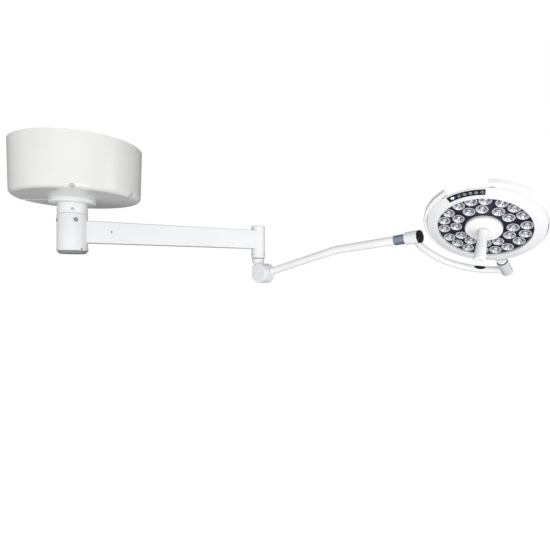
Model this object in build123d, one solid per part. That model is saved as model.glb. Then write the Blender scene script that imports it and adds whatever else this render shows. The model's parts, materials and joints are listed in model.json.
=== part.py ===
from build123d import *
import os
from math import cos, degrees, atan2, radians, sin, tan

# Ceiling-mounted surgical light, in millimetres, +Z up.
# The origin is the centre of the ceiling plate's top face, so the whole light hangs below Z = 0.
# The main arm points along +X. The spring arm swivels below its end and carries the lamp head.

os.makedirs("parts", exist_ok=True)

# ================================================================ driving dimensions
FIT = 0.1                     # play of screws and caps in their holes
RUNNING = 0.05                # radial play of a shaft in its bush or bearing

# Ceiling group
PLATE_T = 12.0
PLATE_R = 150.0
CABLE_HOLE_R = 30.0
ANCHOR_PCD = 250.0
ANCHOR_COUNT = 6
ANCHOR_HOLE_R = 6.5
FLANGE_T = 10.0
FLANGE_R = 95.0
FLANGE_PCD = 160.0
FLANGE_BOLT_R = 5.0
TUBE_R = 52.0
TUBE_WALL = 6.0
TUBE_END_Z = -252.0
CANOPY_TOP_Z = -3.0
CANOPY_BOTTOM_Z = -197.0
CANOPY_TOP_R = 231.0
CANOPY_LOW_R = 226.0
CANOPY_EDGE_R = 18.0
CANOPY_WALL = 3.0
CANOPY_HOLE_R = 53.5
CANOPY_CENTRE = (19.0, -10.5) # the canopy hangs off-centre; only its hole is centred on the tube
CANOPY_SEAM_ANGLE = 153.0     # one end of the seam; the other end is opposite
SEAM_GAP = 0.6
COLLAR_R = 82.0
COLLAR_T = 17.0
SUPPLY_SIZE = (110.0, 45.0, 100.0)

# Main arm
SLEEVE_R = 54.0
SLEEVE_TOP_Z = -255.0
SLEEVE_END_Z = -393.0
SLEEVE_CAP_T = 11.0
SLEEVE_CAP_R = 46.0
SPINDLE_R = 30.0
SPINDLE_BORE_R = 14.0
MAIN_BEARING_R = 47.5
MAIN_BEARING_T = 15.0
ARM_REACH = 780.0
ARM_TOP_Z = -277.0
ARM_HEIGHT = 85.0
ARM_WIDTH = 56.0
ARM_WALL = 3.0
ARM_CORNER_R = 6.0
HOUSING_R = 31.75
HOUSING_TOP_Z = -255.0
HOUSING_END_Z = -405.5
HOUSING_LIP_R = 32.8
SWIVEL_SHAFT_R = 15.0
SWIVEL_BEARING_R = 27.5
SWIVEL_BEARING_T = 13.0
FRONT_ANGLE = -92.0           # the side of the pole that carries the visible screws

# Swivel post and knuckle, in the swivel frame: X along the spring arm, Y along the knuckle pin
SWIVEL_REST = -71.0
POST_R = 28.0
POST_TOP_Z = -408.0
POST_STEP_Z = -429.0
KNUCKLE_X = 29.0
KNUCKLE_Z = -476.5
KNUCKLE_R = 45.0
POST_BOSS_Y = (-25.0, 0.6)
ARM_BOSS_Y = (2.6, 34.8)
COVER_T = 3.5
PIN_R = 10.0

# Spring arm
ARM_Y = 18.3
ARM_TUBE_R = 16.0
ARM_TUBE_WALL = 2.5
ARM_LIP_R = 17.2
LOWER_RISE = 12.5             # slope of the first run, degrees
WRIST_RISE = 4.7              # slope of the second run, degrees
LOWER_PLAN = 402.0            # level distance from the knuckle pin to the bend
ARM_BEND_R = 200.0
BEND_TO_HEAD = 569.0

# Gimbal, in the head frame: X is the roll axis, Y the tilt axis, -Z the way the light shines
HEAD_ROLL = -34.4
TUBE_END_X = -312.0
WRIST_X = (-305.0, -263.0)
WRIST_R = 17.8
HUB_X = (-261.5, -214.5)
HUB_R = 23.0
HUB_CAP_T = 9.0
ROLL_SHAFT_R = 10.0
BUSH_R = 13.0
YOKE_R = 234.0
YOKE_TUBE_R = 12.0
YOKE_WALL = 2.5
YOKE_PLUG_AZIMUTH = 110.5
PIVOT_Y = (189.0, 251.0)
PIVOT_R = 18.0
TILT_SHAFT_R = 9.0

# Lamp head
PANEL_Z = (-4.0, -1.0)
PANEL_R = 135.8
RIM_R = 169.5
RIM_INNER_R = 136.0
RIM_LIP_Z = -14.0
RIM_EDGE_Z = -6.2
SHELL_R = 157.0
SHELL_WALL = 3.0
SHELL_TOP_Z = 49.0
LENS_R = 17.5
OUTER_RING_R = 117.4
INNER_RING_R = 80.5
SECTORS = 6
OUTER_OFFSETS = (-18.9, 0.0, 18.9)
INNER_OFFSETS = (-13.5, 13.5)
GRIP_R = (171.5, 182.5)
GRIP_Z = (0.0, 22.0)
GRIP_ARC = 110.0
GRIP_END_AZIMUTH = 40.0       # the grips stop this far from the roll axis, beside the tilt axis
CENTRE_HUB_R = 54.0
CENTRE_HUB_Z = -17.0
STEM_R = 9.0
HANDLE_TOP_Z = -21.5
HANDLE_END_Z = -134.0
HANDLE_R = (13.0, 17.0)

# Control strip on the sloping rim, opposite the tilt axis
STRIP_AZIMUTH = -90.9
STRIP_ARC = 39.4
STRIP_INNER = (150.0, -11.7)  # radius and height of the strip's inner edge
STRIP_OUTER = (167.3, -6.6)
STRIP_T = 1.5
BUTTON_R = 5.5
BUTTON_GAP = 0.25
BUTTON_STAND = 0.7
BUTTON_DEPTH = 4.0
BUTTON_FIRST_AZIMUTH = -97.2
BUTTON_STEP = 5.8
BUTTON_NAMES = ("power_button", "dimmer_down_button", "dimmer_up_button", "colour_button", "depth_button")

LOW = (Align.CENTER, Align.CENTER, Align.MIN)


# ================================================================ helpers
def save(name, *shapes):
    """Write one sub-part; several shapes become separate solids of the same node."""
    solids = [solid for shape in shapes for solid in shape.solids()]
    export_step(solids[0] if len(solids) == 1 else Compound(children=solids), f"parts/{name}.step")


def rod(radius, z_low, z_high):
    """A round bar on Z."""
    return Pos(0, 0, z_low) * Cylinder(radius, z_high - z_low, align=LOW)


def ring(outer, inner, z_low, z_high):
    """A washer or plain tube on Z."""
    return rod(outer, z_low, z_high) - rod(inner, z_low - 1, z_high + 1)


def turned(points, rounds=None, arc=360.0, start=0.0):
    """A solid turned on Z from (radius, height) points; rounds gives corner radii by point index."""
    face = make_face(Plane.XZ * Polyline(*points, close=True))
    for index, radius in (rounds or {}).items():
        corner = face.vertices().sort_by_distance((points[index][0], 0, points[index][1]))[0]
        face = fillet(corner, radius)
    return Rot(0, 0, start) * revolve(face, Axis.Z, revolution_arc=arc)


def on_x(shape):
    """Turn a shape that stands on Z so that its axis lies on X."""
    return Rot(0, 90, 0) * shape


def on_y(shape):
    """Turn a shape that stands on Z so that its axis lies on Y."""
    return Rot(-90, 0, 0) * shape


def radial(shape, angle, z):
    """Point a shape's Z axis outwards from the pole at an angle and a height."""
    return Pos(0, 0, z) * Rot(0, 0, angle) * on_x(shape)


def spread(shape, count, first=0.0):
    """Copies of a shape, evenly spaced about Z."""
    return [Rot(0, 0, first + k * 360.0 / count) * shape for k in range(count)]


def hex_bolt(shank_r, head_r, head_h, length):
    """A bolt with its head above Z = 0 and its shank below."""
    head = extrude(RegularPolygon(head_r, 6), head_h)
    return head + rod(shank_r, -length, 0)


def socket_screw(radius, length):
    """A headless set screw with its hexagon socket at Z = 0, and its body below."""
    return rod(radius, -length, 0) - Pos(0, 0, -radius) * extrude(RegularPolygon(radius * 0.55, 6), radius)


def bearing(bore_r, outer_r, z_low, thickness, balls):
    """A ball bearing: two rings, and between them a row of balls joined by their cage."""
    wall = (outer_r - bore_r) * 0.28
    ball_r = (outer_r - bore_r) / 2 - wall - 0.05
    pitch_r = (outer_r + bore_r) / 2
    middle = z_low + thickness / 2
    cage = ring(pitch_r + 0.8, pitch_r - 0.8, middle - 1.5, middle + 1.5)
    for ball in spread(Pos(pitch_r, 0, middle) * Sphere(ball_r), balls):
        cage += ball
    outer = ring(outer_r, outer_r - wall, z_low, z_low + thickness)
    inner = ring(bore_r + wall, bore_r, z_low, z_low + thickness)
    return [outer, inner, cage]


# ================================================================ frames
SWIVEL_FRAME = Pos(ARM_REACH, 0, 0) * Rot(0, 0, SWIVEL_REST)
LOWER_RISE_HEIGHT = LOWER_PLAN * tan(radians(LOWER_RISE))
BEND_X = KNUCKLE_X + LOWER_PLAN
BEND_Z = KNUCKLE_Z + LOWER_RISE_HEIGHT
HEAD_X = BEND_X + BEND_TO_HEAD * cos(radians(WRIST_RISE))
HEAD_Z = BEND_Z + BEND_TO_HEAD * sin(radians(WRIST_RISE))
WRIST_FRAME = SWIVEL_FRAME * Pos(HEAD_X, ARM_Y, HEAD_Z) * Rot(0, -WRIST_RISE, 0)
HEAD_FRAME = WRIST_FRAME * Rot(HEAD_ROLL, 0, 0)


# ================================================================ ceiling group
def make_ceiling_plate():
    plate = turned([(CABLE_HOLE_R, -PLATE_T), (PLATE_R, -PLATE_T), (PLATE_R, 0), (CABLE_HOLE_R, 0)],
                   {1: 2})
    for hole in spread(Pos(ANCHOR_PCD / 2, 0, 0) * rod(ANCHOR_HOLE_R, -PLATE_T - 1, 1), ANCHOR_COUNT):
        plate -= hole
    for hole in spread(Pos(FLANGE_PCD / 2, 0, 0) * rod(FLANGE_BOLT_R + FIT, -PLATE_T - 1, 1), 6, 30):
        plate -= hole
    save("ceiling_plate", plate)


SPINDLE_SCREW_Z = -241.0
SPINDLE_SCREW_R = 4.0
SPINDLE_HEAD_R = 6.5
SPINDLE_SEAT_R = 51.2


def make_down_tube():
    flange_low = -PLATE_T - FLANGE_T
    inner = TUBE_R - TUBE_WALL
    tube = turned([(inner, -PLATE_T), (FLANGE_R, -PLATE_T), (FLANGE_R, flange_low), (TUBE_R, flange_low),
                   (TUBE_R, TUBE_END_Z), (inner, TUBE_END_Z)], {3: 5})
    for hole in spread(Pos(FLANGE_PCD / 2, 0, 0) * rod(FLANGE_BOLT_R + 0.5, flange_low - 1, 0), 6, 30):
        tube -= hole
    for k in range(4):
        tube -= radial(rod(SPINDLE_SCREW_R + FIT, 40, 60), FRONT_ANGLE + 90 * k, SPINDLE_SCREW_Z)
        tube -= radial(rod(SPINDLE_HEAD_R + 0.2, SPINDLE_SEAT_R, 60), FRONT_ANGLE + 90 * k, SPINDLE_SCREW_Z)
    save("down_tube", tube)


def make_tube_bolts():
    """Six bolts hold the tube's flange to the plate, and four short ones hold the spindle in the tube."""
    flange_low = -PLATE_T - FLANGE_T
    flange_bolt = Rot(180, 0, 0) * hex_bolt(FLANGE_BOLT_R, 9.2, 6.5, PLATE_T + FLANGE_T - 2)
    bolts = spread(Pos(FLANGE_PCD / 2, 0, flange_low) * flange_bolt, 6, 30)
    head = turned([(0, SPINDLE_SEAT_R), (SPINDLE_HEAD_R, SPINDLE_SEAT_R), (SPINDLE_HEAD_R, 53.4), (0, 54.2)])
    slots = Pos(0, 0, 54) * (Box(7, 1.4, 2) + Box(1.4, 7, 2))
    screw = head + rod(SPINDLE_SCREW_R, 37, SPINDLE_SEAT_R) - slots
    bolts += [radial(screw, FRONT_ANGLE + 90 * k, SPINDLE_SCREW_Z) for k in range(4)]
    save("tube_bolts", *bolts)


def canopy_shell():
    wall = CANOPY_WALL
    shell = turned([(CANOPY_TOP_R, CANOPY_TOP_Z), (CANOPY_LOW_R, CANOPY_BOTTOM_Z), (0, CANOPY_BOTTOM_Z),
                    (0, CANOPY_BOTTOM_Z + wall), (CANOPY_LOW_R - wall, CANOPY_BOTTOM_Z + wall),
                    (CANOPY_TOP_R - wall, CANOPY_TOP_Z)], {1: CANOPY_EDGE_R, 4: CANOPY_EDGE_R - wall})
    return Pos(*CANOPY_CENTRE) * shell - rod(CANOPY_HOLE_R, CANOPY_BOTTOM_Z - 1, CANOPY_BOTTOM_Z + wall + 1)


CANOPY_SCREW_ANGLES = (-97.0, 83.0)
CANOPY_SCREW_TILT = 40.0


def canopy_screw_place(angle):
    """The rounded lower edge of the canopy, facing outwards and down."""
    edge_r = CANOPY_LOW_R - CANOPY_EDGE_R
    edge_z = CANOPY_BOTTOM_Z + CANOPY_EDGE_R
    return Pos(*CANOPY_CENTRE) * Rot(0, 0, angle) * Pos(edge_r, 0, edge_z) * Rot(0, 90 + CANOPY_SCREW_TILT, 0)


def make_canopy():
    canopy = canopy_shell()
    for angle in CANOPY_SCREW_ANGLES:
        canopy -= canopy_screw_place(angle) * rod(2.2, 5, 30)
    half = Pos(0, 300 + SEAM_GAP / 2, -100) * Box(600, 600, 300)
    save("canopy_front_half", canopy & (Rot(0, 0, CANOPY_SEAM_ANGLE) * half))
    save("canopy_rear_half", canopy & (Rot(0, 0, CANOPY_SEAM_ANGLE + 180) * half))
    top = CANOPY_EDGE_R + 0.4
    screw = rod(2.0, 8, top) + rod(5.0, top, top + 1.8) - Pos(0, 0, top + 1.8) * Box(6, 1, 1.6)
    save("canopy_screws", *[canopy_screw_place(angle) * screw for angle in CANOPY_SCREW_ANGLES])


def make_collar():
    """The clamp ring on the down tube that carries the canopy."""
    top = CANOPY_BOTTOM_Z
    low = top - COLLAR_T
    bore = TUBE_R + FIT
    collar = turned([(bore, top), (COLLAR_R, top), (COLLAR_R, low), (bore, low)], {2: 4, 3: 2})
    for k in range(3):
        collar -= radial(rod(3.1, 50, 90), FRONT_ANGLE + 60 + 120 * k, top - COLLAR_T / 2)
    save("canopy_collar", collar)


def make_power_supply():
    """The supply box, strapped to the down tube inside the canopy, with its terminal strip."""
    length, depth, height = SUPPLY_SIZE
    middle_y = TUBE_R + 4 + depth / 2
    case = Pos(0, middle_y, -100) * Box(length, depth, height)
    case = fillet(case.edges().filter_by(Axis.Z), 4)
    strap = (Pos(0, TUBE_R + 2, -100) * Box(70, 12, 30)) - rod(TUBE_R + FIT, -200, 0)
    terminals = Pos(0, middle_y, -100 - height / 2 - 6) * Box(60, 20, 12)
    for k in range(-2, 3):
        terminals -= Pos(12 * k, middle_y, -100 - height / 2 - 12) * Box(8, 14, 8)
    save("power_supply", case + strap + terminals)


SPINDLE_TOP_Z = -210.0
SPINDLE_NUT_Z = (-392.0, -384.4)


def make_spindle():
    plug_r = TUBE_R - TUBE_WALL - FIT
    neck_r = 36.0
    shoulder_z = SLEEVE_TOP_Z - 2
    end_z = SPINDLE_NUT_Z[0] - 0.5
    spindle = turned([(SPINDLE_BORE_R, SPINDLE_TOP_Z), (plug_r, SPINDLE_TOP_Z), (plug_r, TUBE_END_Z + 0.5),
                      (neck_r, TUBE_END_Z + 0.5), (neck_r, shoulder_z), (SPINDLE_R, shoulder_z),
                      (SPINDLE_R, end_z), (SPINDLE_BORE_R, end_z)], {1: 2})
    for k in range(4):
        spindle -= radial(rod(SPINDLE_SCREW_R + FIT, 20, 60), FRONT_ANGLE + 90 * k, SPINDLE_SCREW_Z)
    save("main_spindle", spindle)
    nut = ring(40, SPINDLE_R + 0.02, *SPINDLE_NUT_Z)
    for slot in spread(Pos(40, 0, -388) * Box(6, 8, 20), 4):
        nut -= slot
    save("spindle_nut", nut)


# ================================================================ main arm
MAIN_BRAKE_Z = -278.5
MAIN_BRAKE_R = 5.0
MAIN_BRAKE_ANGLES = (-80.0, -170.0, 100.0)
SWIVEL_BRAKE_Z = -390.0
SWIVEL_BRAKE_R = 3.0
SWIVEL_BRAKE_FIRST = -170.0


def make_sleeve():
    sleeve = turned([(MAIN_BEARING_R, SLEEVE_TOP_Z), (SLEEVE_R, SLEEVE_TOP_Z), (SLEEVE_R, SLEEVE_END_Z),
                     (MAIN_BEARING_R, SLEEVE_END_Z)], {1: 1})
    for angle in MAIN_BRAKE_ANGLES:
        sleeve -= radial(rod(MAIN_BRAKE_R + FIT, 40, 60), angle, MAIN_BRAKE_Z)
    save("arm_sleeve", sleeve)
    cap_end = SLEEVE_END_Z - SLEEVE_CAP_T
    save("sleeve_cap", turned([(0, cap_end), (SLEEVE_CAP_R, cap_end), (SLEEVE_R, SLEEVE_END_Z),
                               (MAIN_BEARING_R - 0.2, SLEEVE_END_Z), (MAIN_BEARING_R - 0.2, SLEEVE_END_Z + 6.5),
                               (44, SLEEVE_END_Z + 6.5), (44, SLEEVE_END_Z - 2), (0, SLEEVE_END_Z - 2)], {1: 1}))


def make_main_bearings():
    upper = bearing(SPINDLE_R + RUNNING, MAIN_BEARING_R, -272.6, MAIN_BEARING_T, 10)
    lower = bearing(SPINDLE_R + RUNNING, MAIN_BEARING_R, -384.0, MAIN_BEARING_T, 10)
    save("main_bearings", *upper, *lower)


def make_brake_screws():
    """Set screws that brake the two swivels: three in the sleeve and three in the swivel housing."""
    main = Pos(0, 0, SLEEVE_R + 0.2) * socket_screw(MAIN_BRAKE_R, SLEEVE_R - SPINDLE_R - 0.8)
    screws = [radial(main, angle, MAIN_BRAKE_Z) for angle in MAIN_BRAKE_ANGLES]
    small = Pos(0, 0, HOUSING_R + 0.2) * socket_screw(SWIVEL_BRAKE_R, HOUSING_R - SWIVEL_SHAFT_R - 0.8)
    place = Pos(ARM_REACH, 0, 0)
    screws += [place * radial(small, SWIVEL_BRAKE_FIRST + 120 * k, SWIVEL_BRAKE_Z) for k in range(3)]
    save("brake_screws", *screws)


def make_arm_box():
    middle = (ARM_REACH / 2, 0, ARM_TOP_Z - ARM_HEIGHT / 2)
    outer = Pos(*middle) * Box(ARM_REACH, ARM_WIDTH, ARM_HEIGHT)
    outer = fillet(outer.edges().filter_by(Axis.X), ARM_CORNER_R)
    inner = Pos(*middle) * Box(ARM_REACH + 2, ARM_WIDTH - 2 * ARM_WALL, ARM_HEIGHT - 2 * ARM_WALL)
    inner = fillet(inner.edges().filter_by(Axis.X), ARM_CORNER_R - ARM_WALL)
    box = outer - inner - rod(SLEEVE_R, -500, 0) - Pos(ARM_REACH, 0, 0) * rod(HOUSING_R, -500, 0)
    save("arm_box", box)
    wiring_z = ARM_TOP_Z - ARM_HEIGHT + ARM_WALL + 5
    start = SLEEVE_R + 4
    save("arm_wiring", Pos(start, 0, wiring_z) * on_x(rod(4, 0, ARM_REACH - HOUSING_R - 4 - start)))


def make_swivel_housing():
    bore = SWIVEL_BEARING_R
    lip_top = HOUSING_END_Z + 5.5
    roof = HOUSING_TOP_Z - 10
    housing = turned([(0, HOUSING_TOP_Z), (HOUSING_R, HOUSING_TOP_Z), (HOUSING_R, lip_top),
                      (HOUSING_LIP_R, lip_top - 1), (HOUSING_LIP_R, HOUSING_END_Z), (bore, HOUSING_END_Z),
                      (bore, roof), (0, roof)], {1: 5, 4: 1})
    for k in range(3):
        housing -= radial(rod(SWIVEL_BRAKE_R + FIT, 20, 60), SWIVEL_BRAKE_FIRST + 120 * k, SWIVEL_BRAKE_Z)
    save("swivel_housing", Pos(ARM_REACH, 0, 0) * housing)
    upper = bearing(SWIVEL_SHAFT_R + RUNNING, bore, -293.0, SWIVEL_BEARING_T, 8)
    lower = bearing(SWIVEL_SHAFT_R + RUNNING, bore, -384.0, SWIVEL_BEARING_T, 8)
    save("swivel_bearings", *[Pos(ARM_REACH, 0, 0) * solid for solid in upper + lower])


# ================================================================ swivel post and knuckle
SHAFT_TOP_Z = -269.0
SHAFT_END_Z = -428.0
KNUCKLE = Pos(KNUCKLE_X, 0, KNUCKLE_Z)


def make_swivel_shaft():
    shaft = turned([(9, SHAFT_TOP_Z), (SWIVEL_SHAFT_R, SHAFT_TOP_Z), (SWIVEL_SHAFT_R, SHAFT_END_Z),
                    (9, SHAFT_END_Z)], {1: 1})
    save("swivel_shaft", SWIVEL_FRAME * shaft)
    save("swivel_shaft_nut", SWIVEL_FRAME * ring(21, SWIVEL_SHAFT_R + 0.02, -279.7, -271))
    save("thrust_washer", SWIVEL_FRAME * ring(27, SWIVEL_SHAFT_R + 0.02, POST_TOP_Z, HOUSING_END_Z - 0.2))


def make_swivel_post():
    front, back = POST_BOSS_Y
    boss = KNUCKLE * on_y(rod(KNUCKLE_R, front, back))
    slab = Pos(0, (front + back) / 2, -450) * Box(200, back - front, 100)
    neck = rod(POST_R, -470, POST_STEP_Z + 1) & slab
    neck &= KNUCKLE * on_y(rod(KNUCKLE_R + 8, -60, 60))
    post = turned([(0, POST_TOP_Z), (POST_R, POST_TOP_Z), (POST_R, POST_STEP_Z), (0, POST_STEP_Z)], {1: 1})
    post = post + neck + boss
    post -= rod(SWIVEL_SHAFT_R + 0.02, SHAFT_END_Z - 0.5, 0)
    post -= KNUCKLE * on_y(rod(PIN_R + 0.02, -60, 60))
    post -= KNUCKLE * on_y(rod(26, front - 1, -6))
    save("swivel_post", SWIVEL_FRAME * post)
    face = front - COVER_T
    rim = KNUCKLE_R - 0.5
    cover = turned([(0, face), (rim, face), (rim, front), (0, front)], {1: 2.8})
    save("post_cover", SWIVEL_FRAME * KNUCKLE * on_y(cover))


def make_knuckle_pin():
    """The headed pin, and the nut and disc springs that press the two bosses together."""
    back = ARM_BOSS_Y[1]
    head_low = back - 5.3
    head_top = back - 0.3
    pin = turned([(0, -22), (PIN_R, -22), (PIN_R, head_low), (22, head_low), (22, head_top), (0, head_top)],
                 {4: 1})
    save("knuckle_pin", SWIVEL_FRAME * KNUCKLE * on_y(pin))
    nut = Pos(0, 0, -21.5) * extrude(RegularPolygon(18, 6), 9) - rod(PIN_R + 0.02, -30, 0)
    upper = turned([(PIN_R + 0.2, -7.4), (22, -8.4), (22, -7.3), (PIN_R + 0.2, -6.3)])
    lower = turned([(PIN_R + 0.2, -10.6), (22, -9.6), (22, -8.5), (PIN_R + 0.2, -9.5)])
    save("knuckle_nut_and_springs", *[SWIVEL_FRAME * KNUCKLE * on_y(part) for part in (nut, upper, lower)])


# ================================================================ spring arm
def make_arm_boss():
    front, back = ARM_BOSS_Y
    boss = rod(KNUCKLE_R, front, back) - rod(BUSH_R, front - 1, back - 5.6) - rod(23, back - 5.6, back + 1)
    save("arm_boss", SWIVEL_FRAME * KNUCKLE * on_y(boss))
    face = back + COVER_T
    rim = KNUCKLE_R - 0.5
    cover = turned([(0, back), (rim, back), (rim, face), (0, face)], {2: 2.8})
    save("arm_boss_cover", SWIVEL_FRAME * KNUCKLE * on_y(cover))
    bush = ring(BUSH_R, PIN_R + RUNNING, front, back - 5.6)
    save("knuckle_bush", SWIVEL_FRAME * KNUCKLE * on_y(bush))


def arm_path(skip_start, skip_end):
    """The spring arm's centre line, short of the pin and of the head centre by given lengths."""
    rise = radians(LOWER_RISE)
    wrist = radians(WRIST_RISE)
    first = (KNUCKLE_X + skip_start * cos(rise), KNUCKLE_Z + skip_start * sin(rise))
    last = (HEAD_X - skip_end * cos(wrist), HEAD_Z - skip_end * sin(wrist))
    upright = Plane(origin=(0, ARM_Y, 0), x_dir=(1, 0, 0), z_dir=(0, -1, 0))
    return upright * FilletPolyline(first, (BEND_X, BEND_Z), last, radius=ARM_BEND_R)


def swept(path, radius):
    """A round bar along a path."""
    section = Plane(origin=path @ 0, z_dir=path % 0) * Circle(radius)
    return sweep(section, path=path)


def make_spring_arm_tube():
    path = arm_path(30, -TUBE_END_X)
    tube = swept(path, ARM_TUBE_R) - swept(path, ARM_TUBE_R - ARM_TUBE_WALL)
    tube -= KNUCKLE * on_y(rod(KNUCKLE_R, -20, 60))
    bore = ARM_TUBE_R - ARM_TUBE_WALL - FIT
    lip = turned([(bore, TUBE_END_X), (ARM_LIP_R, TUBE_END_X), (ARM_LIP_R, WRIST_X[0]), (bore, WRIST_X[0])],
                 {1: 1, 2: 1})
    save("spring_arm_tube", SWIVEL_FRAME * tube + WRIST_FRAME * on_x(lip))


def make_wrist():
    sleeve = turned([(12.1, WRIST_X[0]), (WRIST_R, WRIST_X[0]), (WRIST_R, WRIST_X[1]), (12.1, WRIST_X[1])],
                    {1: 1, 2: 1})
    save("wrist_sleeve", WRIST_FRAME * on_x(sleeve))
    plug_r = ARM_TUBE_R - ARM_TUBE_WALL - FIT
    plug_start = TUBE_END_X - 40
    plug_end = TUBE_END_X - 0.2
    tip = -222.0
    shaft = turned([(5, plug_start), (plug_r, plug_start), (plug_r, plug_end), (12, plug_end),
                    (12, WRIST_X[1]), (ROLL_SHAFT_R, WRIST_X[1]), (ROLL_SHAFT_R, tip), (5, tip)])
    save("roll_shaft", WRIST_FRAME * on_x(shaft))
    save("roll_nut", WRIST_FRAME * on_x(ring(16, ROLL_SHAFT_R + 0.02, tip - 7.8, tip)))


# ================================================================ yoke
def make_roll_hub():
    start, end = HUB_X
    pocket_r = 18.0
    pocket_x = -230.0
    hub = turned([(BUSH_R, start), (HUB_R, start), (HUB_R, end), (pocket_r, end), (pocket_r, pocket_x),
                  (BUSH_R, pocket_x)], {1: 1.2, 2: 1})
    save("roll_hub", HEAD_FRAME * on_x(hub))
    cap_r = HUB_R - 0.4
    spigot_r = pocket_r - 0.2
    face = end + HUB_CAP_T
    cap = turned([(0, end - 4.5), (spigot_r, end - 4.5), (spigot_r, end), (cap_r, end), (cap_r, face), (0, face)],
                 {4: 3.5})
    save("hub_cap", HEAD_FRAME * on_x(cap))
    bore = ROLL_SHAFT_R + RUNNING
    bushes = [ring(BUSH_R, bore, start + 0.3, -248), ring(BUSH_R, bore, -243, pocket_x - 0.3)]
    save("roll_bushes", *[HEAD_FRAME * on_x(bush) for bush in bushes])


def yoke_bar(radius, start=90.0, end=180.0):
    """A round bar along the yoke's arc, between two azimuths."""
    section = Pos(YOKE_R, 0, 0) * Rot(90, 0, 0) * Circle(radius)
    return Rot(0, 0, start) * revolve(section, Axis.Z, revolution_arc=end - start)


def yoke_plug_shape(length, width, low_r, high_r):
    """An oval plug on the yoke's inner side, pointing at the head centre."""
    inward = Rot(0, 0, YOKE_PLUG_AZIMUTH) * Pos(YOKE_R, 0, 0) * Rot(0, -90, 0) * Rot(0, 0, 90)
    return inward * Pos(0, 0, low_r) * extrude(Ellipse(length / 2, width / 2), high_r - low_r)


def make_yoke():
    hub_core = on_x(rod(HUB_R, HUB_X[0] - 5, HUB_X[1] + 5))
    pivot_core = on_y(rod(PIVOT_R, PIVOT_Y[0] - 5, PIVOT_Y[1] + 5))
    tube = yoke_bar(YOKE_TUBE_R) - yoke_bar(YOKE_TUBE_R - YOKE_WALL) - hub_core - pivot_core
    tube -= yoke_plug_shape(36.2, 14.2, 4, 20)
    save("yoke_tube", HEAD_FRAME * tube)
    skin = yoke_bar(YOKE_TUBE_R + 0.4, YOKE_PLUG_AZIMUTH - 10, YOKE_PLUG_AZIMUTH + 10)
    save("yoke_plug", HEAD_FRAME * (yoke_plug_shape(36, 14, 6, 20) & skin))


def make_pivot():
    start, end = PIVOT_Y
    roof = end - 7
    housing = turned([(BUSH_R, start), (PIVOT_R, start), (PIVOT_R, end), (0, end), (0, roof), (BUSH_R, roof)],
                     {1: 1, 2: 3})
    save("pivot_housing", HEAD_FRAME * on_y(housing))
    bore = TILT_SHAFT_R + RUNNING
    flange_r = 16.3
    flanged = turned([(bore, start - 3.2), (flange_r, start - 3.2), (flange_r, start - 0.1),
                      (BUSH_R, start - 0.1), (BUSH_R, start + 12), (bore, start + 12)])
    save("tilt_bushes", HEAD_FRAME * on_y(flanged), HEAD_FRAME * on_y(ring(BUSH_R, bore, 214, 226)))


# ================================================================ lamp head
SHELL_OUTLINE = [(SHELL_R, -1), (SHELL_R, 8), (148, 21), (112, 40), (60, SHELL_TOP_Z)]
SHELL_ROUNDS = {1: 6.0, 2: 22.0, 3: 70.0, 4: 60.0}
SHELL_INSIDE = [(60, 46), (111.3, 37.1), (145.9, 18.8), (SHELL_R - SHELL_WALL, 7.1), (SHELL_R - SHELL_WALL, -1)]
SERVICE_HOLE_R = 38.0


def make_head_shell():
    outline = SHELL_OUTLINE + [(SERVICE_HOLE_R, SHELL_TOP_Z), (SERVICE_HOLE_R, 46)] + SHELL_INSIDE
    rounds = dict(SHELL_ROUNDS)
    rounds.update({7: 57.0, 8: 67.0, 9: 19.0, 10: 3.0})
    shell = turned(outline, rounds)
    cover_screw = Pos(44, 0, 0) * (rod(2.0, 47, 52.5) + rod(4.0, 52.5, 54.3) - Pos(0, 0, 54.3) * Box(5, 1, 1.6))
    for hole in spread(Pos(44, 0, 0) * rod(2.1, 40, 60), 4, 45):
        shell -= hole
    save("head_shell", HEAD_FRAME * shell)
    cover = turned([(0, SHELL_TOP_Z), (50, SHELL_TOP_Z), (50, 52.5), (0, 52.5)], {2: 1.5})
    for hole in spread(Pos(44, 0, 0) * rod(2.1, 40, 60), 4, 45):
        cover -= hole
    save("service_cover", HEAD_FRAME * cover)
    save("service_screws", *[HEAD_FRAME * screw for screw in spread(cover_screw, 4, 45)])


def strip_place(azimuth):
    """The middle of the rim's slope at an azimuth, with Z pointing out of the surface."""
    run = STRIP_OUTER[0] - STRIP_INNER[0]
    rise = STRIP_OUTER[1] - STRIP_INNER[1]
    middle_r = STRIP_INNER[0] + run / 2
    middle_z = STRIP_INNER[1] + rise / 2
    slope = degrees(atan2(rise, run))
    return Rot(0, 0, azimuth) * Pos(middle_r, 0, middle_z) * Rot(0, -slope, 0) * Rot(180, 0, 0)


def strip_body(play, depth, stand=0.0):
    """The strip's curved plate; play grows it on every side and stand lifts its face."""
    run = STRIP_OUTER[0] - STRIP_INNER[0]
    rise = STRIP_OUTER[1] - STRIP_INNER[1]
    length = (run ** 2 + rise ** 2) ** 0.5
    along = (run / length, rise / length)
    normal = (along[1], -along[0])
    near = (STRIP_INNER[0] - along[0] * play, STRIP_INNER[1] - along[1] * play)
    far = (STRIP_OUTER[0] + along[0] * play, STRIP_OUTER[1] + along[1] * play)
    points = [(p[0] + normal[0] * n, p[1] + normal[1] * n)
              for p, n in ((near, stand), (far, stand), (far, -depth), (near, -depth))]
    arc = STRIP_ARC + 2 * degrees(play / STRIP_OUTER[0])
    return turned(points, arc=arc, start=STRIP_AZIMUTH - arc / 2)


def button_azimuths():
    return [BUTTON_FIRST_AZIMUTH + BUTTON_STEP * k for k in range(len(BUTTON_NAMES))]


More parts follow.
